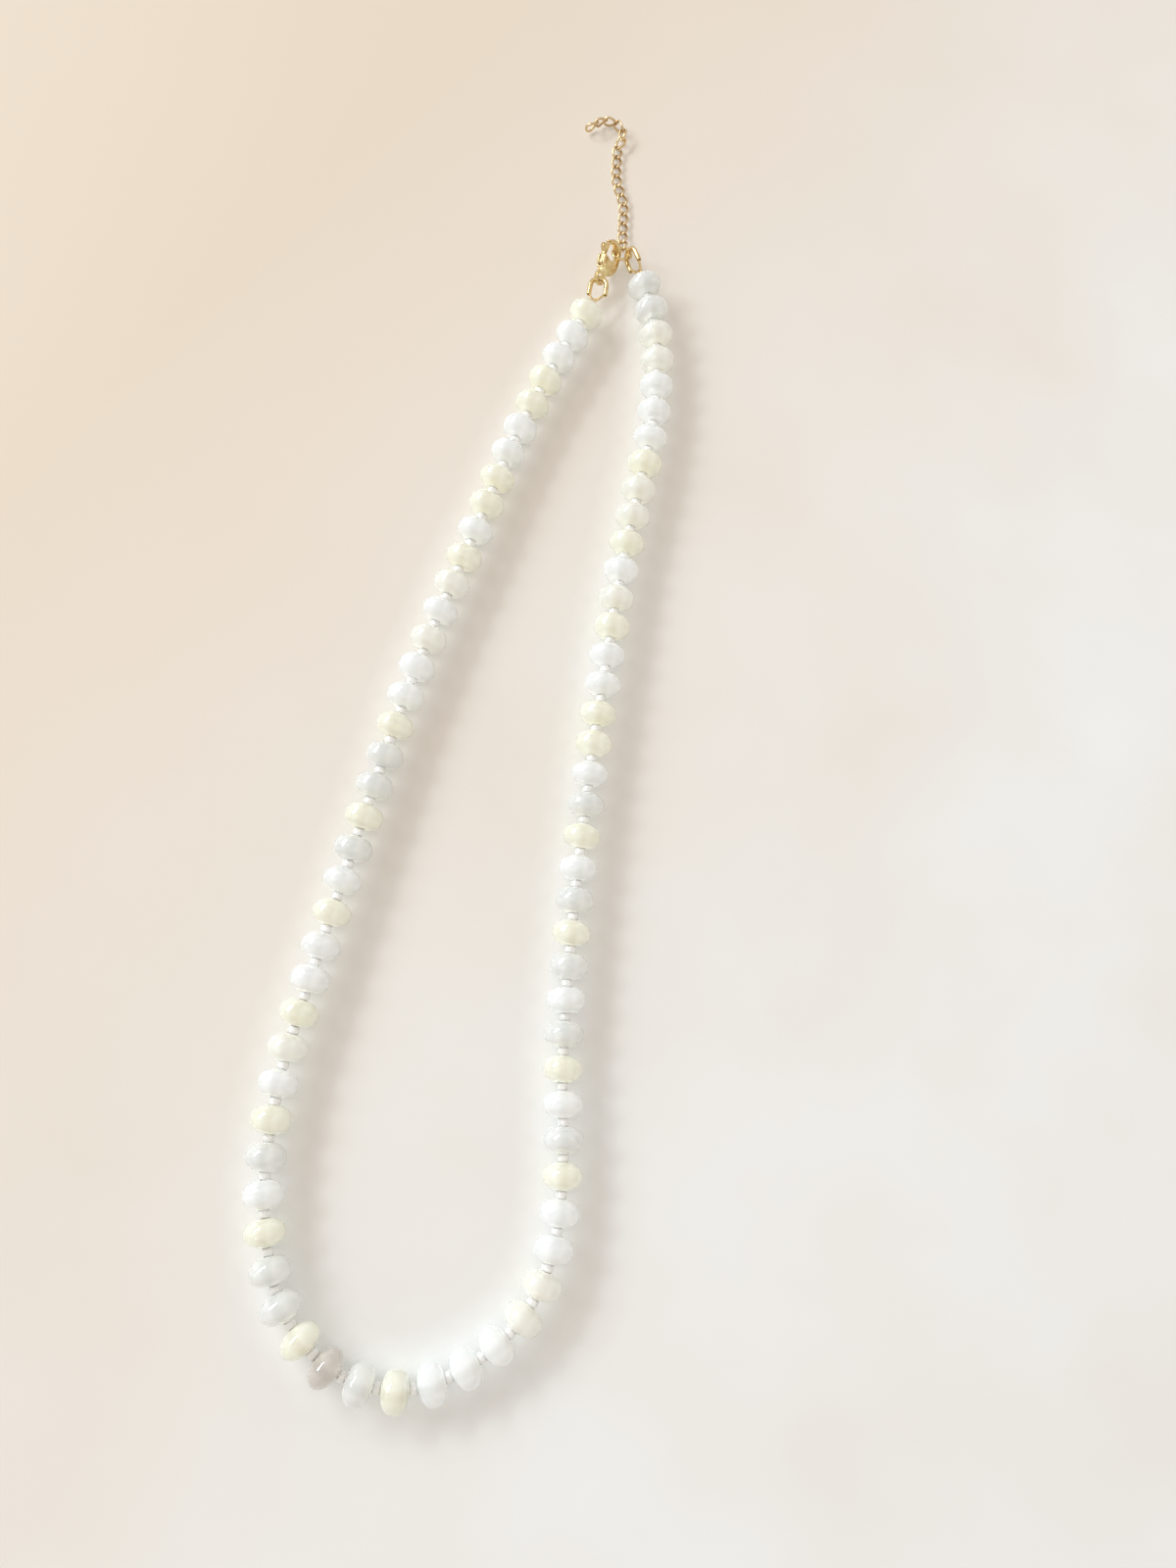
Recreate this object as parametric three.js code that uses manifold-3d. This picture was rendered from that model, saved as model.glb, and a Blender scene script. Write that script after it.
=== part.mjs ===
// A beaded necklace lying on a flat surface as one closed loop.
// Round stone rondelles alternate with small seed beads on a fine wire. Each end of the string
// turns back through a wire guard: a lobster clasp hangs on the left guard, and a jump ring that
// the clasp has caught joins the right guard and a short extender chain.
// Millimetres, +Z up, +Y towards the clasp. The origin is under the middle of the whole necklace.

import * as THREE from 'three';
import { mergeVertices } from 'three/addons/utils/BufferGeometryUtils.js';
import Module from 'manifold-3d';

const wasm = await Module();
wasm.setup();

// Beads
const BEAD_DIAMETER = 6.2;
const BEAD_THICKNESS = 4.1;
const BEAD_SIDES = 12;
const SEED_DIAMETER = 1.8;
const SEED_LENGTH = 1.0;
const HALVES_GAP = 0.3;

// The bead profile from the middle of a bead to its face, as shares of half its thickness and of
// its radius.
const BEAD_PROFILE = [
  { along: 0.28, radius: 1.0 },
  { along: 0.74, radius: 0.80 },
];

// The beads' route on the surface: x and y of chosen points, from the middle of the first bead at
// the left guard, round the bottom of the loop, to the middle of the last bead at the right guard.
// The two halves of the string meet at the point numbered BOTTOM_POINT.
const STRING_ROUTE = [
  [18.4, 82.9], [11.1, 69.5], [4.6, 55.3], [-1.0, 40.6], [-6.6, 26.6], [-11.7, 12.6], [-16.4, -2.3],
  [-20.9, -17.2], [-25.4, -32.6], [-29.0, -45.5], [-30.8, -58.5], [-30.3, -68.7], [-27.7, -78.0],
  [-21.6, -85.6], [-14.3, -88.8],
  [-9.3, -89.0],
  [-2.3, -86.7], [6.1, -80.2], [10.5, -71.0], [12.0, -58.5], [12.1, -45.7], [13.3, -30.7],
  [15.1, -15.3], [18.0, 4.6], [20.5, 19.2], [23.0, 33.1], [26.5, 48.5], [29.2, 60.0], [30.5, 70.5],
  [30.6, 80.0], [29.0, 89.0],
];
const BOTTOM_POINT = 15;

// End wires and wire guards
const WIRE_DIAMETER = 0.36;
const WIRE_SIDES = 6;
const GUARD_TUBE_DIAMETER = 0.86;
const GUARD_WALL = 0.12;
const GUARD_SPACING = 2.9;
const GUARD_LENGTH = 4.0;
const GUARD_SIDES = 8;
const GUARD_BEND_STEPS = 7;
const WIRE_NECK = 0.7;

// How each guard lies: the middle between its two tube ends, the heading of its bend measured from
// +Y towards +X, its slope above the surface and its roll about its own length, in degrees. The
// left guard's bend is in the clasp's ring, so its x and y follow from the clasp.
const LEFT_GUARD = { z: 2.55, heading: 9, slope: 0, roll: -8 };
const RIGHT_GUARD = { x: 27.5, y: 93.2, z: 2.65, heading: -18, slope: -4, roll: -64 };

// Lobster clasp, in its own plane: its length runs along x from the hanging ring to the hook,
// its lever is on the +y side.
const CLASP_LENGTH = 9.0;
const CLASP_WIDTH = 4.4;
const CLASP_THICKNESS = 1.8;
const CLASP_RING_RADIUS = 1.3;
const CLASP_RING_HOLE = 0.87;
const RING_CLEARANCE = 0.3;
const HOOK_BAR = 0.75;
const LEVER_THICKNESS = 0.7;
const LEVER_SIDE_CLEARANCE = 0.12;
const LEVER_TIP_GAP = 0.2;
const PIN_DIAMETER = 0.6;
const PIN_CLEARANCE = 0.08;
const PIN_SIDES = 12;

// Where the end of the clasp's hook is, inside the jump ring, and how the clasp lies back from it
const CLASP_PLACE = { x: 24.1954, y: 97.6838, z: 2.8736, heading: 24, slope: 2, roll: 55 };

// Jump ring: its middle, and its tilts about X and Y in degrees
const JUMP_RING_DIAMETER = 4.1;
const JUMP_RING_WIRE = 0.54;
const JUMP_RING_SEGMENTS = 16;
const JUMP_RING_PLACE = { x: 25.27, y: 96.35, z: 1.88, tiltX: -19, tiltY: 4 };

// Extender chain of twisted oval links. The first links roll from the ring's lie to their own.
const LINK_LENGTH = 3.05;
const LINK_WIDTH = 2.1;
const LINK_WIRE = 0.42;
const LINK_CLEARANCE = 0.21;
const LINK_TWIST = 45;
const LINK_SEGMENTS = 12;
const LINK_SIDES = 6;
const FIRST_LINK_ROLLS = [-30, -15];

// The route of the joints between the links, and then the links of the free end, which is folded
// over to the left, by the heading, slope and roll of each, in degrees.
const CHAIN_ROUTE = [
  [25.64, 97.68, 1.38], [25.61, 99.7, 0.79], [25.7, 101.8, 0.6], [26.0, 105.5, 0.58],
  [26.1, 108.0, 0.58], [25.0, 112.3, 0.58], [24.9, 115.0, 0.58], [25.15, 117.5, 0.58],
  [25.3, 120.2, 0.58],
];
const CHAIN_FOLD = [
  { heading: 33.9, slope: 17.5, roll: -14.2 },
  { heading: -0.5, slope: -5.8, roll: -52.4 },
  { heading: -39.4, slope: 1.3, roll: 111.1 },
  { heading: -83.1, slope: 5.5, roll: 95.7 },
  { heading: -121.4, slope: 12.4, roll: 85.4 },
  { heading: -115.1, slope: -19.3, roll: 80.6 },
];

const radians = THREE.MathUtils.degToRad;

const materials = {
  stone: { color: 0xe9e4c0, roughness: 0.22, metalness: 0 },
  gold: { color: 0xd9a441, roughness: 0.22, metalness: 1 },
};

function finished(geometry, name, look) {
  geometry.computeVertexNormals();
  const mesh = new THREE.Mesh(geometry, new THREE.MeshStandardMaterial({ ...look, flatShading: true }));
  mesh.name = name;
  return mesh;
}

// Rings of points joined into one closed skin, capped at both ends or closed on itself.
function ringSkin(rings, closed) {
  const sides = rings[0].length;
  const positions = rings.flat().flatMap((p) => [p.x, p.y, p.z]);
  const index = [];
  const last = closed ? rings.length : rings.length - 1;
  for (let i = 0; i < last; i += 1) {
    const here = i * sides;
    const next = ((i + 1) % rings.length) * sides;
    for (let k = 0; k < sides; k += 1) {
      const side = (k + 1) % sides;
      index.push(here + k, next + k, here + side);
      index.push(here + side, next + k, next + side);
    }
  }
  if (!closed) {
    const end = (rings.length - 1) * sides;
    for (let k = 1; k < sides - 1; k += 1) {
      index.push(0, k, k + 1);
      index.push(end, end + k + 1, end + k);
    }
  }
  const geometry = new THREE.BufferGeometry();
  geometry.setAttribute('position', new THREE.Float32BufferAttribute(positions, 3));
  geometry.setIndex(index);
  return geometry;
}

// A regular ring of points around a centre, across a direction, with a flat side towards -up.
function ring(centre, along, up, radius, sides) {
  const across = new THREE.Vector3().crossVectors(along, up).normalize();
  const upright = new THREE.Vector3().crossVectors(across, along).normalize();
  return Array.from({ length: sides }, (_, k) => {
    const angle = ((k + 0.5) / sides) * 2 * Math.PI;
    return centre.clone()
      .addScaledVector(upright, Math.cos(angle) * radius)
      .addScaledVector(across, -Math.sin(angle) * radius);
  });
}

// A wire or tube skin along a list of points.
function tubeRings(points, radius, sides, up, closed) {
  return points.map((p, i) => {
    const before = closed ? points[(i + points.length - 1) % points.length] : points[Math.max(i - 1, 0)];
    const after = closed ? points[(i + 1) % points.length] : points[Math.min(i + 1, points.length - 1)];
    const along = after.clone().sub(before).normalize();
    return ring(p, along, typeof up === 'function' ? up(i) : up, radius, sides);
  });
}

function toSolid(geometry) {
  const bare = geometry.clone();
  bare.deleteAttribute('normal');
  bare.deleteAttribute('uv');
  const merged = mergeVertices(bare, 1e-5);
  return new wasm.Manifold(new wasm.Mesh({
    numProp: 3,
    vertProperties: new Float32Array(merged.attributes.position.array),
    triVerts: new Uint32Array(merged.index.array),
  }));
}

function fromSolid(solid) {
  const { vertProperties, triVerts } = solid.getMesh();
  const geometry = new THREE.BufferGeometry();
  geometry.setAttribute('position', new THREE.Float32BufferAttribute(vertProperties, 3));
  geometry.setIndex(Array.from(triVerts));
  return geometry;
}

// Turns a piece's own frame: x along its length, y across it, z out of its flat side.
function placing({ x, y, z, heading, slope, roll }) {
  const turn = new THREE.Euler(radians(roll), -radians(slope), radians(90 - heading), 'ZYX');
  return new THREE.Matrix4().makeRotationFromEuler(turn).setPosition(x, y, z);
}

const necklace = new THREE.Group();

// Wire guards: a tube bent into a narrow U, open at both ends for the end wire.
const guardAxisLength = GUARD_LENGTH - GUARD_TUBE_DIAMETER / 2;
const guardBend = GUARD_SPACING / 2;

function guardPath(steps) {
  const straight = guardAxisLength - guardBend;
  const points = [new THREE.Vector3(0, -guardBend, 0), new THREE.Vector3(straight, -guardBend, 0)];
  for (let i = 1; i < steps; i += 1) {
    const angle = -Math.PI / 2 + (i / steps) * Math.PI;
    points.push(new THREE.Vector3(
      straight + Math.cos(angle) * guardBend,
      Math.sin(angle) * guardBend,
      0,
    ));
  }
  points.push(new THREE.Vector3(straight, guardBend, 0), new THREE.Vector3(0, guardBend, 0));
  return points;
}

function wireGuard(side, place) {
  const path = guardPath(GUARD_BEND_STEPS);
  const up = new THREE.Vector3(0, 0, 1);
  const outer = tubeRings(path, GUARD_TUBE_DIAMETER / 2, GUARD_SIDES, up, false);
  const inner = tubeRings(path, GUARD_TUBE_DIAMETER / 2 - GUARD_WALL, GUARD_SIDES, up, false);
  const geometry = ringSkin([...outer, ...inner.reverse()], true);
  geometry.applyMatrix4(placing(place));
  return finished(geometry, `wire_guard_${side}`, materials.gold);
}

// The bead string: the beads and the core that seed beads and wire make between them, as one body
// for each half of the loop, with the end wire looped through its guard.
const beadHalf = BEAD_THICKNESS / 2;
const beadRadius = BEAD_DIAMETER / 2;
const beadHeight = beadRadius * Math.cos(Math.PI / BEAD_SIDES);
const beadPitch = BEAD_THICKNESS + SEED_LENGTH;
const stringCurve = new THREE.CatmullRomCurve3(
  STRING_ROUTE.map(([x, y]) => new THREE.Vector3(x, y, beadHeight)), false, 'centripetal',
);
stringCurve.arcLengthDivisions = 3000;
const stringLength = stringCurve.getLength();
const bottomShare = stringCurve.getLengths()[
  Math.round((BOTTOM_POINT / (STRING_ROUTE.length - 1)) * stringCurve.arcLengthDivisions)
] / stringLength;

// Bead middles of one half, from its guard to the bottom of the loop.
function beadPlaces(side) {
  const halfLength = stringLength * (side === 'left' ? bottomShare : 1 - bottomShare);
  const count = Math.round(halfLength / beadPitch + 0.5);
  const spacing = halfLength / (count - 0.5);
  return Array.from({ length: count }, (_, i) => {
    const share = (i * spacing) / stringLength;
    const u = side === 'left' ? share : 1 - share;
    const along = stringCurve.getTangentAt(u).multiplyScalar(side === 'left' ? 1 : -1);
    return { middle: stringCurve.getPointAt(u), along };
  });
}

function beadString(side, guardPlace) {
  const up = new THREE.Vector3(0, 0, 1);
  const beads = beadPlaces(side);
  const profile = [
    { along: 1, radius: SEED_DIAMETER / BEAD_DIAMETER },
    ...BEAD_PROFILE.slice().reverse(),
  ];
  const steps = [
    ...profile.map(({ along, radius }) => ({ along: -along, radius })),
    ...profile.slice().reverse(),
  ];
  const rings = beads.flatMap(({ middle, along }) => steps.map((step) => ring(
    middle.clone().addScaledVector(along, step.along * beadHalf),
    along, up, step.radius * beadRadius, BEAD_SIDES,
  )));
  const away = side === 'left' ? 1 : -1;
  const end = bottomShare - (away * HALVES_GAP) / 2 / stringLength;
  rings.push(ring(
    stringCurve.getPointAt(end), stringCurve.getTangentAt(bottomShare).multiplyScalar(away),
    up, SEED_DIAMETER / 2, BEAD_SIDES,
  ));
  const beadsSolid = toSolid(ringSkin(rings, false));

  const guard = placing(guardPlace);
  const inGuard = guardPath(GUARD_BEND_STEPS).map((p) => p.applyMatrix4(guard));
  const face = beads[0].middle.clone().addScaledVector(beads[0].along, -beadHalf);
  const neckEnd = face.clone().addScaledVector(beads[0].along, -WIRE_NECK);
  const root = face.clone().addScaledVector(beads[0].along, beadHalf / 2);
  const loop = [neckEnd, ...inGuard];
  const loopUp = new THREE.Vector3(0, 0, 1).transformDirection(guard);
  const loopSolid = toSolid(ringSkin(tubeRings(loop, WIRE_DIAMETER / 2, WIRE_SIDES, loopUp, true), true));
  const neckSolid = toSolid(ringSkin(
    tubeRings([root, neckEnd], WIRE_DIAMETER * 0.9, WIRE_SIDES, up, false), false,
  ));
  const solid = beadsSolid.add(neckSolid).add(loopSolid);
  return finished(fromSolid(solid), `bead_string_${side}`, materials.stone);
}

// The clasp lies back from its hook's end, and the left guard's bend hangs in the clasp's ring.
const claspTop = CLASP_LENGTH - CLASP_RING_RADIUS;
const ringSlack = CLASP_RING_HOLE - GUARD_TUBE_DIAMETER / 2 - RING_CLEARANCE;
const claspPlacing = placing(CLASP_PLACE).multiply(new THREE.Matrix4().makeTranslation(-claspTop, 0, 0));
const hangOn = new THREE.Vector3(-ringSlack, 0, 0).applyMatrix4(claspPlacing);
const guardWay = radians(LEFT_GUARD.heading);
const leftGuard = {
  ...LEFT_GUARD,
  x: hangOn.x - Math.sin(guardWay) * guardAxisLength,
  y: hangOn.y - Math.cos(guardWay) * guardAxisLength,
};
necklace.add(wireGuard('left', leftGuard));
necklace.add(beadString('left', leftGuard));
necklace.add(wireGuard('right', RIGHT_GUARD));
necklace.add(beadString('right', RIGHT_GUARD));

// Lobster clasp. The outline is one plate from the hanging ring to the hook tip, rounded on its
// edges, thinned towards both ends and slotted for the lever.
const leverPivot = new THREE.Vector2(CLASP_LENGTH * 0.29, CLASP_WIDTH * 0.26);
const claspHalf = CLASP_WIDTH / 2;
const eyeFoot = CLASP_LENGTH * 0.4;
const eyeHalf = claspHalf - HOOK_BAR;
const tipReach = claspTop - claspHalf + eyeHalf * 0.552;

function claspOutline() {
  const shape = new THREE.Shape();
  const neck = CLASP_RING_RADIUS * 0.72;
  shape.moveTo(neck, -neck);
  shape.bezierCurveTo(
    CLASP_LENGTH * 0.16, -neck * 1.1, CLASP_LENGTH * 0.2, -claspHalf, CLASP_LENGTH * 0.38, -claspHalf,
  );
  shape.lineTo(claspTop - claspHalf, -claspHalf);
  shape.absarc(claspTop - claspHalf, 0, claspHalf, -Math.PI / 2, Math.PI * 0.29, false);
  shape.lineTo(tipReach, claspHalf - HOOK_BAR * 0.15);
  shape.lineTo(tipReach, claspHalf - HOOK_BAR * 0.95);
  shape.absarc(claspTop - claspHalf, 0, eyeHalf, Math.PI * 0.3, -Math.PI / 2, true);
  shape.lineTo(eyeFoot + eyeHalf * 0.6, -eyeHalf);
  shape.absarc(eyeFoot + eyeHalf * 0.6, -eyeHalf * 0.4, eyeHalf * 0.6, -Math.PI / 2, -Math.PI, true);
  shape.lineTo(eyeFoot, claspHalf * 0.9);
  shape.bezierCurveTo(
    CLASP_LENGTH * 0.3, claspHalf, CLASP_LENGTH * 0.16, neck * 1.1, neck, neck,
  );
  shape.closePath();
  return shape;
}

function plate(shape, thickness, bevel, curveSegments) {
  const geometry = new THREE.ExtrudeGeometry(shape, {
    depth: thickness - 2 * bevel,
    bevelEnabled: bevel > 0,
    bevelThickness: bevel,
    bevelSize: bevel,
    bevelOffset: -bevel,
    bevelSegments: 2,
    curveSegments,
  });
  geometry.translate(0, 0, bevel - thickness / 2);
  return toSolid(geometry);
}

function disc(radius, thickness, sides, at) {
  const geometry = new THREE.CylinderGeometry(radius, radius, thickness, sides);
  geometry.rotateX(Math.PI / 2);
  geometry.translate(at.x, at.y, 0);
  return toSolid(geometry);
}

// Half thickness of the clasp along its length, as shares of its length and of half its thickness.
const CLASP_TAPER = [
  { along: -0.16, half: 0.34 },
  { along: 0.09, half: 0.36 },
  { along: 0.24, half: 1.0 },
  { along: 0.42, half: 1.0 },
  { along: 0.60, half: 0.60 },
  { along: 0.92, half: 0.5 },
];

function taperSolid() {
  const top = CLASP_TAPER.map(({ along, half }) => [along * CLASP_LENGTH, (half * CLASP_THICKNESS) / 2]);
  const bottom = top.map(([x, y]) => [x, -y]).reverse();
  const shape = new THREE.Shape([...top, ...bottom].map(([x, y]) => new THREE.Vector2(x, y)));
  const geometry = new THREE.ExtrudeGeometry(shape, { depth: CLASP_WIDTH * 2, bevelEnabled: false });
  geometry.translate(0, 0, -CLASP_WIDTH);
  geometry.rotateX(Math.PI / 2);
  return toSolid(geometry);
}

function boxSolid(low, high) {
  const geometry = new THREE.BoxGeometry(high.x - low.x, high.y - low.y, high.z - low.z);
  geometry.translate((high.x + low.x) / 2, (high.y + low.y) / 2, (high.z + low.z) / 2);
  return toSolid(geometry);
}

const leverRoot = CLASP_WIDTH * 0.17;
const slotHalf = LEVER_THICKNESS / 2 + LEVER_SIDE_CLEARANCE;

function claspBody() {
  const ringPlate = disc(CLASP_RING_RADIUS, CLASP_THICKNESS, 16, { x: 0, y: 0 });
  const ringHole = disc(CLASP_RING_HOLE, CLASP_THICKNESS * 2, 12, { x: 0, y: 0 });
  const body = plate(claspOutline(), CLASP_THICKNESS, CLASP_THICKNESS * 0.14, 8);
  const slot = boxSolid(
    new THREE.Vector3(leverPivot.x - leverRoot - LEVER_TIP_GAP, leverPivot.y - leverRoot - LEVER_TIP_GAP, -slotHalf),
    new THREE.Vector3(eyeFoot + HOOK_BAR, CLASP_WIDTH, slotHalf),
  );
  const pin = disc(PIN_DIAMETER / 2, CLASP_THICKNESS * 0.8, PIN_SIDES, leverPivot);
  return body.add(ringPlate).intersect(taperSolid()).subtract(ringHole).subtract(slot).add(pin);
}

function leverOutline() {
  const shape = new THREE.Shape();
  const tip = tipReach - LEVER_TIP_GAP;
  const inside = claspHalf - HOOK_BAR * 0.95;
  const outside = claspHalf - HOOK_BAR * 0.15;
  const tabFoot = CLASP_LENGTH * 0.47;
  const tabReach = claspHalf + CLASP_WIDTH * 0.17;
  shape.absarc(leverPivot.x, leverPivot.y, leverRoot, Math.PI * 0.75, -Math.PI * 0.25, false);
  shape.lineTo(eyeFoot + HOOK_BAR * 0.3, inside * 0.86);
  shape.lineTo(tip, inside);
  shape.lineTo(tip, outside);
  shape.lineTo(tabFoot + CLASP_LENGTH * 0.12, outside);
  shape.lineTo(tabFoot + CLASP_LENGTH * 0.1, tabReach);
  shape.lineTo(tabFoot + CLASP_LENGTH * 0.03, tabReach);
  shape.lineTo(tabFoot - CLASP_LENGTH * 0.03, outside);
  shape.closePath();
  return shape;
}

function claspLever() {
  const bore = disc(PIN_DIAMETER / 2 + PIN_CLEARANCE, CLASP_THICKNESS, PIN_SIDES, leverPivot);
  return plate(leverOutline(), LEVER_THICKNESS, LEVER_THICKNESS * 0.2, 6).subtract(bore);
}

const claspMesh = finished(fromSolid(claspBody()), 'clasp_body', materials.gold);
claspMesh.applyMatrix4(claspPlacing);
necklace.add(claspMesh);
const leverMesh = finished(fromSolid(claspLever()), 'clasp_lever', materials.gold);
leverMesh.applyMatrix4(claspPlacing);
necklace.add(leverMesh);

// Jump ring, between the clasp's hook, the right guard's bend and the first link.
const jumpRingGeometry = new THREE.TorusGeometry(
  (JUMP_RING_DIAMETER - JUMP_RING_WIRE) / 2, JUMP_RING_WIRE / 2, WIRE_SIDES, JUMP_RING_SEGMENTS,
);
const jumpRing = finished(fromSolid(toSolid(jumpRingGeometry)), 'jump_ring', materials.gold);
jumpRing.rotation.set(radians(JUMP_RING_PLACE.tiltX), radians(JUMP_RING_PLACE.tiltY), 0);
jumpRing.position.set(JUMP_RING_PLACE.x, JUMP_RING_PLACE.y, JUMP_RING_PLACE.z);
necklace.add(jumpRing);

// Extender chain.
function linkGeometry() {
  const halfLength = (LINK_LENGTH - LINK_WIRE) / 2;
  const halfWidth = (LINK_WIDTH - LINK_WIRE) / 2;
  const points = Array.from({ length: LINK_SEGMENTS }, (_, i) => {
    const angle = (i / LINK_SEGMENTS) * 2 * Math.PI;
    const twist = radians(LINK_TWIST) * Math.cos(angle);
    const across = Math.sin(angle) * halfWidth;
    return new THREE.Vector3(
      Math.cos(angle) * halfLength, across * Math.cos(twist), across * Math.sin(twist),
    );
  });
  const flatSide = (i) => {
    const twist = radians(LINK_TWIST) * Math.cos((i / LINK_SEGMENTS) * 2 * Math.PI);
    return new THREE.Vector3(0, -Math.sin(twist), Math.cos(twist));
  };
  return ringSkin(tubeRings(points, LINK_WIRE / 2, LINK_SIDES, flatSide, true), true);
}

// Joints along the chain, one link's pull apart: first along the route, then through the fold.
const linkPitch = LINK_LENGTH - 2 * LINK_WIRE - LINK_CLEARANCE;
const chainCurve = new THREE.CatmullRomCurve3(
  CHAIN_ROUTE.map(([x, y, z]) => new THREE.Vector3(x, y, z)), false, 'centripetal',
);
const straightLinks = Math.round(chainCurve.getLength() / linkPitch);
const chainJoints = Array.from(
  { length: straightLinks + 1 }, (_, i) => chainCurve.getPointAt(i / straightLinks),
);
for (const { heading, slope } of CHAIN_FOLD) {
  const step = new THREE.Vector3(linkPitch, 0, 0)
    .transformDirection(placing({ x: 0, y: 0, z: 0, heading, slope, roll: 0 }))
    .multiplyScalar(linkPitch);
  chainJoints.push(chainJoints[chainJoints.length - 1].clone().add(step));
}
const linkRolls = [
  ...Array.from({ length: straightLinks }, (_, i) => FIRST_LINK_ROLLS[i] ?? 0),
  ...CHAIN_FOLD.map(({ roll }) => roll),
];
chainJoints.slice(1).forEach((end, i) => {
  const start = chainJoints[i];
  const along = end.clone().sub(start).normalize();
  const across = new THREE.Vector3().crossVectors(new THREE.Vector3(0, 0, 1), along).normalize();
  const upright = new THREE.Vector3().crossVectors(along, across);
  const link = finished(linkGeometry(), `chain_link_${String(i + 1).padStart(2, '0')}`, materials.gold);
  const roll = new THREE.Matrix4().makeRotationX(radians(linkRolls[i]));
  link.applyMatrix4(new THREE.Matrix4().makeBasis(along, across, upright).multiply(roll));
  link.position.addVectors(start, end).multiplyScalar(0.5);
  necklace.add(link);
});

// The origin goes under the middle of the whole necklace.
necklace.updateMatrixWorld(true);
const reach = new THREE.Box3().setFromObject(necklace, true);
necklace.position.set(
  -(reach.min.x + reach.max.x) / 2, -(reach.min.y + reach.max.y) / 2, -reach.min.z,
);

export default necklace;
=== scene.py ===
# A necklace of milky stone rondelles with a lobster clasp and a short extender chain, lying on a
# pale board in soft window light. All lengths are in metres.

import math
import random

import bmesh
import bpy
from mathutils import Matrix, Vector


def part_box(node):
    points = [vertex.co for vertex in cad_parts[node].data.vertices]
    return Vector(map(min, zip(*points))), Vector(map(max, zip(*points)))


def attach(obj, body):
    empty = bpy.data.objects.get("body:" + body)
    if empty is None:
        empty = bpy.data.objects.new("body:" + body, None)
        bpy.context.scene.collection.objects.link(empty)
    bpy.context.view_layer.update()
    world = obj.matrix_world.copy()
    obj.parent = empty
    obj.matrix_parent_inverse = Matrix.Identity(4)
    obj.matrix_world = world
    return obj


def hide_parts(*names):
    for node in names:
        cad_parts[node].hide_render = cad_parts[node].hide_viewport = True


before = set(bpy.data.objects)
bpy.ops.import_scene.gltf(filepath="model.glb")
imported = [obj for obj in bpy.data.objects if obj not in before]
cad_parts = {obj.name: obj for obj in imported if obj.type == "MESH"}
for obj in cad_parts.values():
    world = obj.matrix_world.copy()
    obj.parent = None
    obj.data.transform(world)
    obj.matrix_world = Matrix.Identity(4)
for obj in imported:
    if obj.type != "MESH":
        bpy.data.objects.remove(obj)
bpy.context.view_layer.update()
MM = 0.001
random.seed(76)

# Camera. It stands above the necklace and looks down from its lower end, a little turned. Its
# place, the way to its right and the way up in the picture are fitted to the photograph.
CAMERA_PLACE = Vector((-0.03, -64.41, 182.91)) * MM
CAMERA_RIGHT = Vector((0.9958, -0.0221, 0.0883))
CAMERA_UP = Vector((0.0, 0.9701, 0.2427))
CAMERA_LENS = 36.0

camera_data = bpy.data.cameras.new("camera")
camera_data.sensor_fit = "HORIZONTAL"
camera_data.sensor_width = 36.0
camera_data.lens = CAMERA_LENS
camera_data.clip_start = 0.005
camera_data.clip_end = 20.0
camera = bpy.data.objects.new("camera", camera_data)
bpy.context.scene.collection.objects.link(camera)
back = CAMERA_RIGHT.cross(CAMERA_UP).normalized()
right = CAMERA_RIGHT.normalized()
axes = Matrix((right, back.cross(right), back)).transposed().to_4x4()
camera.matrix_world = Matrix.Translation(CAMERA_PLACE) @ axes
bpy.context.scene.camera = camera

# Rondelle beads. Tumbled and polished stone, drilled and strung: 38 on each half of the string.
# Each has its own tone and a slightly different width, and sits a little askew on the strand.
BEAD_RADIUS = 3.0 * MM
BEAD_HALF = 2.05 * MM
BEAD_HOLE = 0.55 * MM
BEAD_ROUNDNESS = (2.18, 2.3, 2.42)
HOLE_NARROWING = 0.82
HOLE_DEPTH = 0.86
BEAD_NARROWEST = -0.04
BEAD_WIDEST = 0.02
BEAD_SKEW = 3.0
BEAD_STEPS = 20
BEAD_TURNS = 40

# Tones of the beads from the guard to the bottom: Y lemon, P cream, W white, G greyish, D smoky.
BEAD_TONES = {
    "left": "YWWYYWWYYWYPWPWWYGGYGWYWWYPWYGWYGGYDGY",
    "right": "GGPPWWWYPPYWPYWWYYWGYWGYGWGYWGYWWPPWWW",
}

# The CAD beads' facets on the floor: how wide one is and how low its corners are.
FACET_REACH = 2.6 * MM
FACET_FLOOR = 0.01 * MM
POINT_GRID = 0.01 * MM


def bead_places(node, guard):
    """Middles of a string half's beads, from its guard to the bottom.

    Each bead of the CAD string rests on one flat facet, whose middle is under the bead's middle.
    """
    found = {}
    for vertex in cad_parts[node].data.vertices:
        found[tuple(round(c / POINT_GRID) for c in vertex.co)] = Vector(vertex.co)
    low_points = [p for p in found.values() if p.z < FACET_FLOOR]
    middles = []
    while low_points:
        facet = [p for p in low_points if (p - low_points[0]).length < FACET_REACH]
        low_points = [p for p in low_points if p not in facet]
        middles.append(sum(facet, Vector()) / len(facet))
    low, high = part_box(guard)
    here = (low + high) / 2
    row = []
    while middles:
        here = min(middles, key=lambda p: (p.xy - here.xy).length)
        middles.remove(here)
        here.z = BEAD_RADIUS
        row.append(here)
    return row


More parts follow.
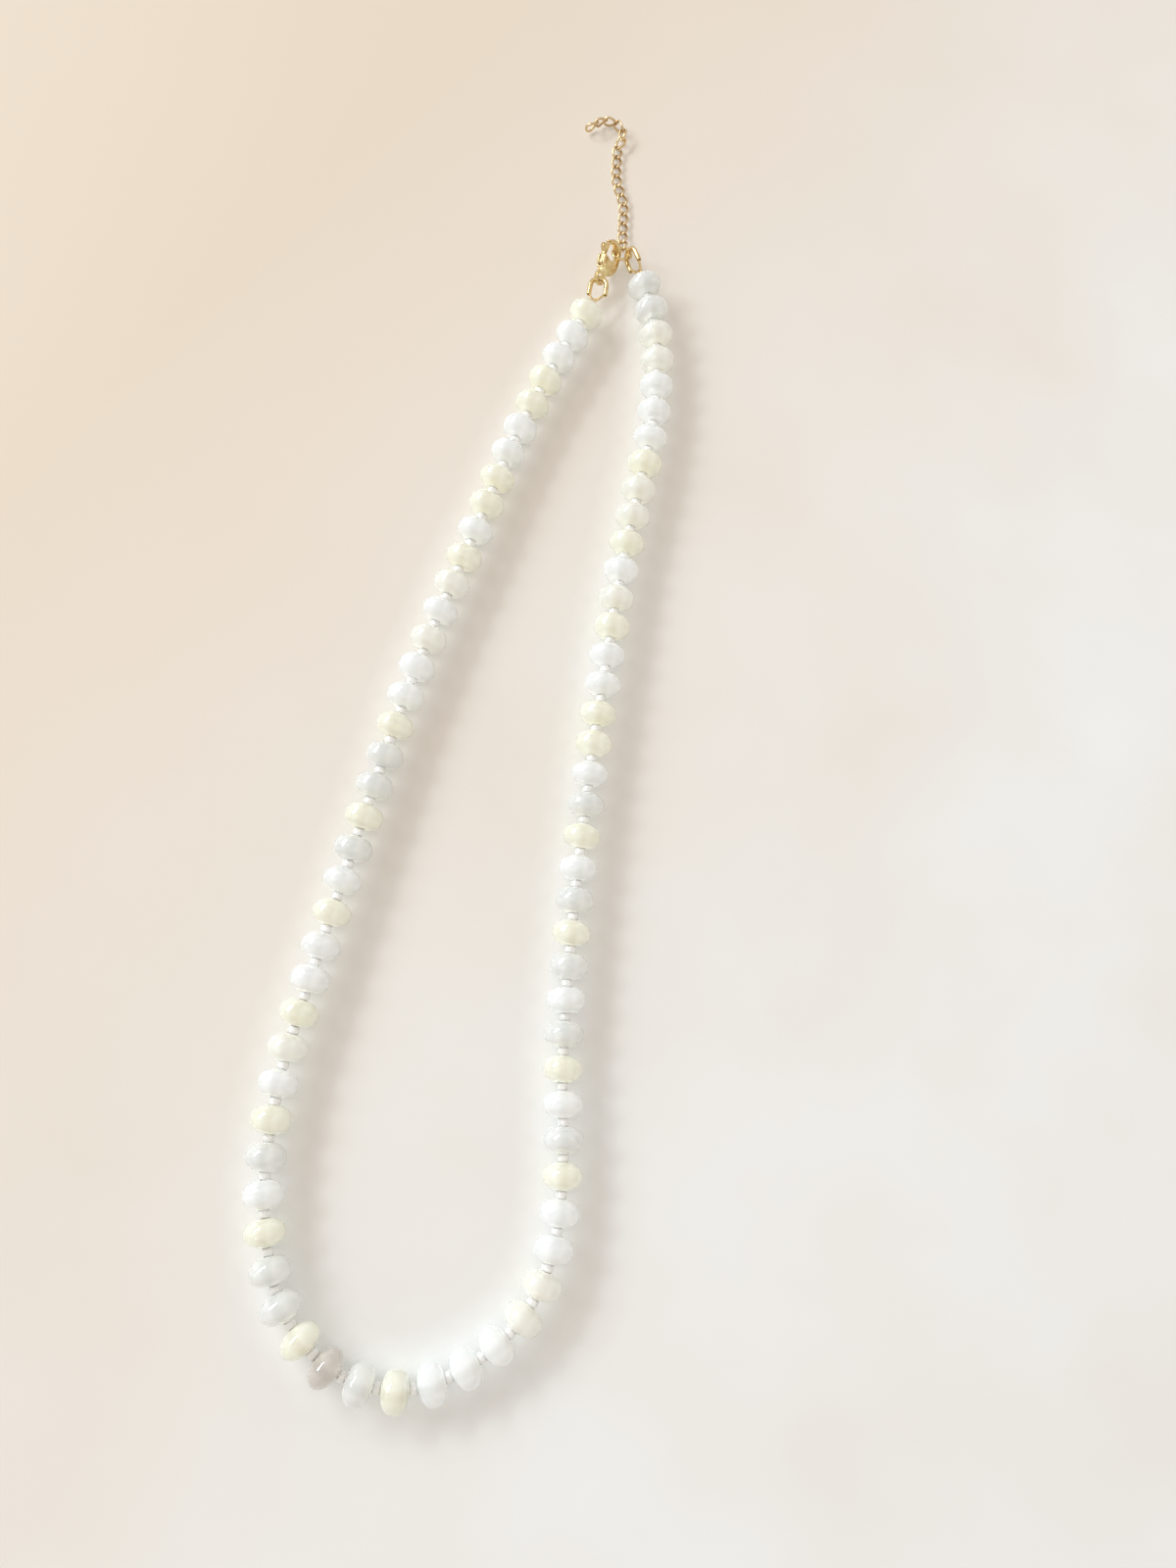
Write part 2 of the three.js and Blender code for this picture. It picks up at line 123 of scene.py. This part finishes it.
def bead_profile(roundness):
    """Points of a drilled bead's section: out over the outside, and back through the hole."""
    start = math.asin((BEAD_HOLE / BEAD_RADIUS) ** (roundness / 2))
    points = []
    for i in range(BEAD_STEPS + 1):
        angle = start + (math.pi - 2 * start) * i / BEAD_STEPS
        along = -math.copysign(abs(math.cos(angle)) ** (2 / roundness), math.cos(angle))
        points.append((along * BEAD_HALF, math.sin(angle) ** (2 / roundness) * BEAD_RADIUS))
    inside = BEAD_HOLE * HOLE_NARROWING
    points += [(BEAD_HALF * HOLE_DEPTH, inside), (-BEAD_HALF * HOLE_DEPTH, inside)]
    return points


def turn_on_lathe(section, turns):
    """A closed ring of a section turned about X."""
    made = bmesh.new()
    corners = [made.verts.new((x, 0.0, r)) for x, r in section]
    edges = [made.edges.new((corners[i - 1], corners[i])) for i in range(len(corners))]
    bmesh.ops.spin(
        made, geom=corners + edges, axis=(1, 0, 0), cent=(0, 0, 0), steps=turns,
        angle=2 * math.pi, use_merge=True, use_duplicate=False,
    )
    bmesh.ops.remove_doubles(made, verts=made.verts, dist=1e-7)
    bmesh.ops.recalc_face_normals(made, faces=made.faces)
    mesh = bpy.data.meshes.new("turned")
    made.to_mesh(mesh)
    made.free()
    return mesh


def thread_up(parts, name):
    """One mesh of threaded beads: each part is a bead's mesh, its place and its material's number.

    The attribute beside_hole tells how far to the side of its hole each point of a bead is.
    """
    whole = bmesh.new()
    beside = whole.verts.layers.float.new("beside_hole")
    for mesh, place, number in parts:
        first = len(whole.faces)
        whole.from_mesh(mesh)
        whole.faces.ensure_lookup_table()
        fresh = whole.faces[first:]
        corners = list({v for face in fresh for v in face.verts})
        for corner in corners:
            corner[beside] = abs(corner.co.y) / BEAD_RADIUS
        bmesh.ops.transform(whole, matrix=place, verts=corners)
        for face in fresh:
            face.material_index = number
    made = bpy.data.meshes.new(name)
    whole.to_mesh(made)
    whole.free()
    return made


def on_strand(middle, way):
    """A place at a middle with X along the strand and Z as upright as it can be."""
    return Matrix.Translation(middle) @ way.to_track_quat("X", "Z").to_matrix().to_4x4()


def place_piece(mesh, name, materials, body):
    """A smooth-shaded piece from a mesh, riding on a body."""
    piece = bpy.data.objects.new(name, mesh)
    bpy.context.scene.collection.objects.link(piece)
    for material in materials:
        mesh.materials.append(material)
    for face in mesh.polygons:
        face.use_smooth = True
    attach(piece, body)
    return piece


def linear(code):
    """A linear colour from an sRGB hex code."""
    parts = [int(code[i:i + 2], 16) / 255 for i in (1, 3, 5)]
    return tuple(c / 12.92 if c <= 0.04045 else ((c + 0.055) / 1.055) ** 2.4 for c in parts) + (1.0,)


def add(tree, kind, inputs=None, **settings):
    """A shader node with its settings and its inputs, which are values or other nodes' sockets."""
    made = tree.nodes.new(kind)
    for name, value in settings.items():
        setattr(made, name, value)
    for name, value in (inputs or {}).items():
        if isinstance(value, bpy.types.NodeSocket):
            tree.links.new(value, made.inputs[name])
        else:
            made.inputs[name].default_value = value
    return made


def new_material(name):
    """An empty material, its node tree and the coordinates its patterns are laid out in."""
    material = bpy.data.materials.new(name)
    material.use_nodes = True
    tree = material.node_tree
    tree.nodes.clear()
    return material, tree, add(tree, "ShaderNodeTexCoord").outputs["Object"]


# Moonstone and pale jade, polished in a tumbler: milky, with soft clouds a few millimetres wide
# inside each bead and a wet shine. Along the drilled hole lies a faint darker stripe of painted
# shade, standing for the shaded hole seen through the stone. The pits are drawn at 0.4 mm, coarser
# than they are, so that they just break the shine.
# The last two entries of each tone give the painted shade over the drilled hole: its colour, and how
# strongly it is laid on.
STONE_TONES = {
    "Y": {"light": "#EDF0E6", "deep": "#E8ECDC", "clear": 0.03, "core": "#DAD9C6", "hole": 0.6},
    "P": {"light": "#ECF0EC", "deep": "#E8EBE6", "clear": 0.03, "core": "#DAD9D0", "hole": 0.6},
    "W": {"light": "#ECF1F5", "deep": "#E6ECF0", "clear": 0.02, "core": "#D8DDDF", "hole": 0.6},
    "G": {"light": "#E5E9EA", "deep": "#DCE1E3", "clear": 0.06, "core": "#CDD3D3", "hole": 0.6},
    "D": {"light": "#CFCCC8", "deep": "#C2BEBA", "clear": 0.08, "core": "#B4AFAA", "hole": 0.6},
}
STONE_SCATTER = 5.0 * MM
STONE_CLOUD = 3.0 * MM
STONE_SMEAR = 1.1 * MM
STONE_PIT = 0.4 * MM


def polished_stone(name, tone):
    material, tree, place = new_material(name)
    clouds = add(tree, "ShaderNodeTexNoise", {
        "Vector": place, "Scale": 1 / STONE_CLOUD, "Detail": 3.0, "Roughness": 0.55, "Distortion": 0.8,
    })
    share = add(tree, "ShaderNodeMapRange", {
        "Value": clouds.outputs["Fac"], "From Min": 0.36, "From Max": 0.66,
    })
    cloudy = add(tree, "ShaderNodeMix", {
        "Factor": share.outputs["Result"], "A": linear(tone["light"]), "B": linear(tone["deep"]),
    }, data_type="RGBA")
    beside = add(tree, "ShaderNodeAttribute", attribute_name="beside_hole")
    # Painted shade: a darker stripe along the drilled hole, standing for the shaded hole seen through the
    # milky stone.
    painted_hole_shade = add(tree, "ShaderNodeMapRange", {
        "Value": beside.outputs["Fac"], "From Min": 0.10, "From Max": 0.34,
        "To Min": tone["hole"], "To Max": 0.0,
    })
    colour = add(tree, "ShaderNodeMix", {
        "Factor": painted_hole_shade.outputs["Result"], "A": cloudy.outputs["Result"], "B": linear(tone["core"]),
    }, data_type="RGBA")
    smears = add(tree, "ShaderNodeTexNoise", {
        "Vector": place, "Scale": 1 / STONE_SMEAR, "Detail": 4.0, "Roughness": 0.6,
    })
    polish = add(tree, "ShaderNodeMapRange", {
        "Value": smears.outputs["Fac"], "From Min": 0.3, "From Max": 0.8, "To Min": 0.02, "To Max": 0.06,
    })
    pits = add(tree, "ShaderNodeTexNoise", {
        "Vector": place, "Scale": 1 / STONE_PIT, "Detail": 3.0, "Roughness": 0.6,
    })
    skin = add(tree, "ShaderNodeBump", {
        "Strength": 0.03, "Distance": 0.03 * MM, "Height": pits.outputs["Fac"],
    })
    shader = add(tree, "ShaderNodeBsdfPrincipled", {
        "Base Color": colour.outputs["Result"], "Roughness": polish.outputs["Result"],
        "Normal": skin.outputs["Normal"], "IOR": 1.54, "Subsurface Weight": 0.85,
        "Subsurface Radius": (1.0, 0.95, 0.85), "Subsurface Scale": STONE_SCATTER,
        "Transmission Weight": tone["clear"], "Coat Weight": 1.0, "Coat Roughness": 0.02, "Coat IOR": 1.75,
    }, subsurface_method="BURLEY")
    add(tree, "ShaderNodeOutputMaterial", {"Surface": shader.outputs["BSDF"]})
    return material


stones = {key: polished_stone(f"polished_stone_{key.lower()}", tone) for key, tone in STONE_TONES.items()}
tone_order = list(stones)
rows = {
    "left": bead_places("bead_string_left", "wire_guard_left"),
    "right": bead_places("bead_string_right", "wire_guard_right"),
}
bead_shapes = [turn_on_lathe(bead_profile(roundness), BEAD_TURNS) for roundness in BEAD_ROUNDNESS]
ways = {}
for side, row in rows.items():
    next_bead = rows["right" if side == "left" else "left"][-1]
    before_first = row[0] * 2 - row[1]
    line_up = [before_first, *row, next_bead]
    ways[side] = [(line_up[i + 2] - line_up[i]).normalized() for i in range(len(row))]
    parts = []
    for middle, way, tone in zip(row, ways[side], BEAD_TONES[side]):
        size = Matrix.Diagonal((1.0 + random.uniform(BEAD_NARROWEST, BEAD_WIDEST), 1.0, 1.0, 1.0))
        skew = Matrix.Rotation(math.radians(random.uniform(-BEAD_SKEW, BEAD_SKEW)), 4, "Z")
        place = on_strand(middle, way) @ skew @ size
        parts.append((random.choice(bead_shapes), place, tone_order.index(tone)))
    beads = place_piece(
        thread_up(parts, f"beads_{side}"), f"beads_{side}", list(stones.values()),
        "necklace",
    )
    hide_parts(f"bead_string_{side}")

# Seed beads. Small rings of clear glass with melted edges, one in each gap between two rondelles;
# they keep the stones from rubbing on each other.
SEED_RADIUS = 0.86 * MM
SEED_HOLE = 0.2 * MM
SEED_HALF = 0.6 * MM
SEED_CORNER = 0.33 * MM
SEED_TURNS = 24
SEED_SPREAD = 0.05


def seed_profile():
    """Points of a seed bead's section: a rounded box beside the hole."""
    points = []
    corners = (
        (SEED_HALF - SEED_CORNER, SEED_RADIUS - SEED_CORNER, 0),
        (SEED_CORNER - SEED_HALF, SEED_RADIUS - SEED_CORNER, 90),
        (SEED_CORNER - SEED_HALF, SEED_HOLE + SEED_CORNER, 180),
        (SEED_HALF - SEED_CORNER, SEED_HOLE + SEED_CORNER, 270),
    )
    for x, r, turn in corners:
        for step in range(4):
            angle = math.radians(turn + 30 * step)
            points.append((x + SEED_CORNER * math.cos(angle), r + SEED_CORNER * math.sin(angle)))
    return points


# Clear drawn glass, tumbled in fire: nearly white where it lies against the stones, with a hard
# sparkle. Its haze is drawn at 0.7 mm, as wide as the bead, so that no two look the same.
SEED_HAZE = 0.7 * MM
SEED_SCATTER = 1.5 * MM


def seed_glass():
    material, tree, place = new_material("seed_glass")
    haze = add(tree, "ShaderNodeTexNoise", {
        "Vector": place, "Scale": 1 / SEED_HAZE, "Detail": 3.0, "Roughness": 0.5,
    })
    colour = add(tree, "ShaderNodeMix", {
        "Factor": haze.outputs["Fac"], "A": linear("#FFFFFF"), "B": linear("#FBFDFD"),
    }, data_type="RGBA")
    polish = add(tree, "ShaderNodeMapRange", {
        "Value": haze.outputs["Fac"], "From Min": 0.3, "From Max": 0.7, "To Min": 0.04, "To Max": 0.14,
    })
    shader = add(tree, "ShaderNodeBsdfPrincipled", {
        "Base Color": colour.outputs["Result"], "Roughness": polish.outputs["Result"], "IOR": 1.5,
        "Subsurface Weight": 0.9, "Subsurface Radius": (1.0, 1.0, 1.0), "Subsurface Scale": SEED_SCATTER,
        "Coat Weight": 1.0, "Coat Roughness": 0.02, "Coat IOR": 1.9,
    }, subsurface_method="BURLEY")
    add(tree, "ShaderNodeOutputMaterial", {"Surface": shader.outputs["BSDF"]})
    return material


glass = seed_glass()
seed_shape = turn_on_lathe(seed_profile(), SEED_TURNS)
for side, row in rows.items():
    following = row[1:] + ([rows["right"][-1]] if side == "left" else [])
    parts = []
    for middle, onward in zip(row, following):
        size = 1.0 + random.uniform(-SEED_SPREAD, SEED_SPREAD)
        way = (onward - middle).normalized()
        place = on_strand((middle + onward) / 2, way) @ Matrix.Diagonal((1.0, size, size, 1.0))
        parts.append((seed_shape, place, 0))
    place_piece(thread_up(parts, f"seeds_{side}"), f"seeds_{side}", [glass], "necklace")

# Strand through beads and seeds: fine twisted beading wire under a nylon skin, threaded through
# both halves and looped through the wire guards. It is seen only in the gaps beside the seeds.
STRAND_RADIUS = 0.14 * MM
STRAND_TWIST = 0.33 * MM


def beading_wire():
    material, tree, place = new_material("beading_wire")
    twist = add(tree, "ShaderNodeTexNoise", {
        "Vector": place, "Scale": 1 / STRAND_TWIST, "Detail": 2.0, "Roughness": 0.5,
    })
    colour = add(tree, "ShaderNodeMix", {
        "Factor": twist.outputs["Fac"], "A": linear("#E6D8CC"), "B": linear("#CDB8A8"),
    }, data_type="RGBA")
    polish = add(tree, "ShaderNodeMapRange", {
        "Value": twist.outputs["Fac"], "From Min": 0.3, "From Max": 0.7, "To Min": 0.3, "To Max": 0.5,
    })
    shader = add(tree, "ShaderNodeBsdfPrincipled", {
        "Base Color": colour.outputs["Result"], "Roughness": polish.outputs["Result"], "Metallic": 0.4,
    })
    add(tree, "ShaderNodeOutputMaterial", {"Surface": shader.outputs["BSDF"]})
    return material


wire_skin = beading_wire()
for side, row in rows.items():
    route = row + ([rows["right"][-1]] if side == "left" else [])
    line = bpy.data.curves.new(f"strand_{side}", "CURVE")
    line.dimensions = "3D"
    line.bevel_depth = STRAND_RADIUS
    line.bevel_resolution = 2
    spline = line.splines.new("POLY")
    spline.points.add(len(route) - 1)
    for point, place in zip(spline.points, route):
        point.co = (*place, 1.0)
    line.materials.append(wire_skin)
    piece = bpy.data.objects.new(f"strand_{side}", line)
    bpy.context.scene.collection.objects.link(piece)
    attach(piece, "necklace")

# End wires. The strand comes out of the last bead, divides and loops through the wire guard; these
# last millimetres are plated like the guard. The sizes say which part of the CAD string they are.
END_REACH = 9.0 * MM
END_WIDTH = 3.2 * MM
END_START = 0.15 * MM
END_SUNK = 0.25 * MM
END_CORE = 0.5 * MM
END_SWELL = 0.06 * MM
END_LEVELS = 1

# Gold-plated brass of the findings, barrel-polished: a bright yellow metal, slightly wavy, with
# fine rub marks. Rub marks and waves are drawn at about 0.5 mm so that they show at this distance.
PLATE_TINT = 1.7 * MM
PLATE_RUB = 0.53 * MM
PLATE_WAVE = 0.42 * MM
ROUND_WIRE_LEVELS = 2
FLAT_ANGLE = math.radians(35)
SQUARE_ANGLE = math.radians(60)


def gold_plate(name, light, deep):
    material, tree, place = new_material(name)
    tint = add(tree, "ShaderNodeTexNoise", {
        "Vector": place, "Scale": 1 / PLATE_TINT, "Detail": 2.0, "Roughness": 0.5,
    })
    share = add(tree, "ShaderNodeMapRange", {
        "Value": tint.outputs["Fac"], "From Min": 0.35, "From Max": 0.7,
    })
    colour = add(tree, "ShaderNodeMix", {
        "Factor": share.outputs["Result"], "A": linear(light), "B": linear(deep),
    }, data_type="RGBA")
    rubs = add(tree, "ShaderNodeTexNoise", {
        "Vector": place, "Scale": 1 / PLATE_RUB, "Detail": 4.0, "Roughness": 0.6, "Distortion": 0.4,
    })
    polish = add(tree, "ShaderNodeMapRange", {
        "Value": rubs.outputs["Fac"], "From Min": 0.3, "From Max": 0.75, "To Min": 0.12, "To Max": 0.3,
    })
    waves = add(tree, "ShaderNodeTexNoise", {
        "Vector": place, "Scale": 1 / PLATE_WAVE, "Detail": 3.0, "Roughness": 0.55,
    })
    skin = add(tree, "ShaderNodeBump", {
        "Strength": 0.12, "Distance": 0.05 * MM, "Height": waves.outputs["Fac"],
    })
    shader = add(tree, "ShaderNodeBsdfPrincipled", {
        "Base Color": colour.outputs["Result"], "Roughness": polish.outputs["Result"],
        "Normal": skin.outputs["Normal"], "Metallic": 1.0,
    })
    add(tree, "ShaderNodeOutputMaterial", {"Surface": shader.outputs["BSDF"]})
    return material


def drawn_copy(node, name, levels, swell, material, keep=None):
    """A CAD node's form with its facets rounded off; swell makes up for what rounding takes."""
    made = bmesh.new()
    made.from_mesh(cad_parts[node].data)
    bmesh.ops.remove_doubles(made, verts=made.verts, dist=1e-6)
    if keep:
        away = [v for v in made.verts if not keep(v.co)]
        bmesh.ops.delete(made, geom=away, context="VERTS")
    bmesh.ops.join_triangles(
        made, faces=made.faces, angle_face_threshold=FLAT_ANGLE, angle_shape_threshold=SQUARE_ANGLE,
    )
    bmesh.ops.recalc_face_normals(made, faces=made.faces)
    mesh = bpy.data.meshes.new(name)
    made.to_mesh(mesh)
    made.free()
    piece = place_piece(mesh, name, [material], "necklace")
    rounding = piece.modifiers.new("rounding", "SUBSURF")
    rounding.levels = levels
    rounding.render_levels = levels
    growing = piece.modifiers.new("growing", "DISPLACE")
    growing.strength = swell
    growing.mid_level = 0.0
    return piece


plate = gold_plate("gold_plate", "#EAD6A6", "#CFB37C")


def end_keeper(face, outward):
    """Tells which points of a string half belong to its end wire: those beyond the last bead."""
    def keep(p):
        along = (p - face).dot(outward)
        aside = (p - face).cross(outward).length
        near = aside < END_WIDTH and (p - face).length < END_REACH
        return near and (along > END_START or (along > -END_SUNK and aside < END_CORE))
    return keep


for side, row in rows.items():
    outward = -ways[side][0]
    face = row[0] + outward * BEAD_HALF
    drawn_copy(
        f"bead_string_{side}", f"end_wire_{side}", END_LEVELS, END_SWELL, plate,
        keep=end_keeper(face, outward),
    )

# Wire guards. Gold-plated tube bent into a horseshoe, its ends cut square; they keep the strand
# from wearing through where it pulls on the clasp and the ring.
GUARD_SWELL = 0.05 * MM
for side in rows:
    guard = drawn_copy(f"wire_guard_{side}", f"guard_{side}", ROUND_WIRE_LEVELS, GUARD_SWELL, plate)
    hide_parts(f"wire_guard_{side}")

# Jump ring. Drawn brass wire, plated, bent round and closed. The right guard and the chain hang
# on it, and the clasp's hook has caught it.
RING_SWELL = 0.03 * MM
ring_piece = drawn_copy("jump_ring", "ring_wire", ROUND_WIRE_LEVELS, RING_SWELL, plate)
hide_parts("jump_ring")

# Extender chain. Twisted oval links of thin plated wire, each through the one before, of a paler
# and pinker gold than the clasp.
LINK_SWELL = 0.05 * MM
chain_plate = gold_plate("gold_chain", "#E6D0A8", "#C4A87E")
links = sorted(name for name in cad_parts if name.startswith("chain_link"))
for name in links:
    wire_name = name.replace("chain_link", "link_wire")
    link = drawn_copy(name, wire_name, ROUND_WIRE_LEVELS, LINK_SWELL, chain_plate)
    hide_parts(name)

# Lobster clasp. A gold-plated brass casting, tumbled smooth, with a hanging ring and a hook, and
# its sprung thumb lever, which turns on a pin. The sizes of its skin are in millimetres.
BODY_CAST = {"voxel": 0.06, "rounds": 6}
LEVER_CAST = {"voxel": 0.05, "rounds": 4}
CAST_SWELL = 0.02


def cast_copy(node, name, cast, body):
    """A CAD node's form as a casting: one skin with all its edges rounded."""
    made = bmesh.new()
    made.from_mesh(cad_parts[node].data)
    bmesh.ops.remove_doubles(made, verts=made.verts, dist=1e-6)
    bmesh.ops.scale(made, vec=(1 / MM,) * 3, verts=made.verts)
    rough = bpy.data.meshes.new(f"{name}_rough")
    made.to_mesh(rough)
    made.free()
    helper = bpy.data.objects.new(f"{name}_rough", rough)
    bpy.context.scene.collection.objects.link(helper)
    skin = helper.modifiers.new("skin", "REMESH")
    skin.mode = "VOXEL"
    skin.voxel_size = cast["voxel"]
    polish = helper.modifiers.new("polish", "SMOOTH")
    polish.factor = 0.5
    polish.iterations = cast["rounds"]
    growing = helper.modifiers.new("growing", "DISPLACE")
    growing.strength = CAST_SWELL
    growing.mid_level = 0.0
    view = bpy.context.evaluated_depsgraph_get()
    mesh = bpy.data.meshes.new_from_object(helper.evaluated_get(view))
    mesh.name = name
    mesh.transform(Matrix.Scale(MM, 4))
    bpy.data.objects.remove(helper)
    piece = place_piece(mesh, name, [plate], body)
    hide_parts(node)


cast_copy("clasp_body", "clasp_cast", BODY_CAST, "necklace")
cast_copy("clasp_lever", "lever_cast", LEVER_CAST, "lever")

# Surface under the necklace: a pale painted board, matt. Painted shading lies on it, warmer and
# darker towards the window and paler and cooler away from it. The stones scatter some light onto
# it, and this is painted on as a white glow of emission close beside them.
FLOOR_REACH = 4.0
FLOOR_PATCH = 45 * MM
GLOW_REACH = 5 * MM
board = bmesh.new()
bmesh.ops.create_grid(board, x_segments=1, y_segments=1, size=FLOOR_REACH)
floor_mesh = bpy.data.meshes.new("floor")
board.to_mesh(floor_mesh)
board.free()
floor = bpy.data.objects.new("floor", floor_mesh)
bpy.context.scene.collection.objects.link(floor)
board_paint, tree, place = new_material("matt_board_paint")
# Painted shading across the board: warmer and darker towards the window, paler and cooler away from it.
across = add(tree, "ShaderNodeVectorMath", {0: place, 1: (0.8, -0.6, 0.0)}, operation="DOT_PRODUCT")
painted_window_shading = add(tree, "ShaderNodeMapRange", {
    "Value": across.outputs["Value"], "From Min": -0.08, "From Max": 0.09,
})
tint = add(tree, "ShaderNodeMix", {
    "Factor": painted_window_shading.outputs["Result"], "A": linear("#DCD0C1"), "B": linear("#EAEEF1"),
}, data_type="RGBA")
patches = add(tree, "ShaderNodeTexNoise", {
    "Vector": place, "Scale": 1 / FLOOR_PATCH, "Detail": 3.0, "Roughness": 0.5,
})
patch_share = add(tree, "ShaderNodeMapRange", {
    "Value": patches.outputs["Fac"], "From Min": 0.35, "From Max": 0.75, "To Min": 0.0, "To Max": 0.35,
})
paint = add(tree, "ShaderNodeMix", {
    "Factor": patch_share.outputs["Result"], "A": tint.outputs["Result"], "B": linear("#DDD2C4"),
}, data_type="RGBA")
# Painted light: white emission laid on the board where the stones are close, for the light they scatter
# onto it.
nearness = add(tree, "ShaderNodeAmbientOcclusion", {"Distance": GLOW_REACH}, samples=6)
glow = add(tree, "ShaderNodeMapRange", {
    "Value": nearness.outputs["AO"], "From Min": 1.0, "From Max": 0.45, "To Min": 0.0, "To Max": 0.20,
})
shader = add(tree, "ShaderNodeBsdfPrincipled", {
    "Base Color": paint.outputs["Result"], "Roughness": 0.6,
    "Emission Color": linear("#F4FAF7"), "Emission Strength": glow.outputs["Result"],
})
add(tree, "ShaderNodeOutputMaterial", {"Surface": shader.outputs["BSDF"]})
floor_mesh.materials.append(board_paint)

# Light. A wide window at the upper left, with a bar across it, gives the two streaks on each stone;
# the room's pale walls and ceiling give soft light from all round.
WINDOW_WAY = Vector((-0.82, 0.57, 0.0))
WINDOW_DISTANCE = 1.2
WINDOW_RADIANCE = 15.0
WINDOW_PANES = [
    {"height": 0.86, "tall": 0.19, "wide": 1.15},
    {"height": 0.62, "tall": 0.06, "wide": 1.15},
]
for i, pane in enumerate(WINDOW_PANES):
    pane_data = bpy.data.lights.new(f"window_{i}", "AREA")
    pane_data.shape = "RECTANGLE"
    pane_data.size = pane["wide"]
    pane_data.size_y = pane["tall"]
    pane_data.energy = WINDOW_RADIANCE * math.pi * pane["wide"] * pane["tall"]
    pane_data.color = (0.88, 0.95, 1.0)
    light = bpy.data.objects.new(f"window_{i}", pane_data)
    bpy.context.scene.collection.objects.link(light)
    light.location = WINDOW_WAY.normalized() * WINDOW_DISTANCE + Vector((0, 0, pane["height"]))
    light.rotation_euler = light.location.to_track_quat("Z", "Y").to_euler()

room = bpy.data.worlds.new("room")
bpy.context.scene.world = room
bpy.context.scene.view_settings.view_transform = "Standard"
room.use_nodes = True
tree = room.node_tree
tree.nodes.clear()
towards = add(tree, "ShaderNodeTexCoord")
split = add(tree, "ShaderNodeSeparateXYZ", {"Vector": towards.outputs["Generated"]})
height = add(tree, "ShaderNodeMapRange", {"Value": split.outputs["Z"], "From Min": 0.05, "From Max": 0.5})
wall = add(tree, "ShaderNodeMix", {
    "Factor": height.outputs["Result"], "A": linear("#E9DFD4"), "B": linear("#FFF6EC"),
}, data_type="RGBA")
lit = add(tree, "ShaderNodeBackground", {"Color": wall.outputs["Result"], "Strength": 0.82})
add(tree, "ShaderNodeOutputWorld", {"Surface": lit.outputs["Background"]})
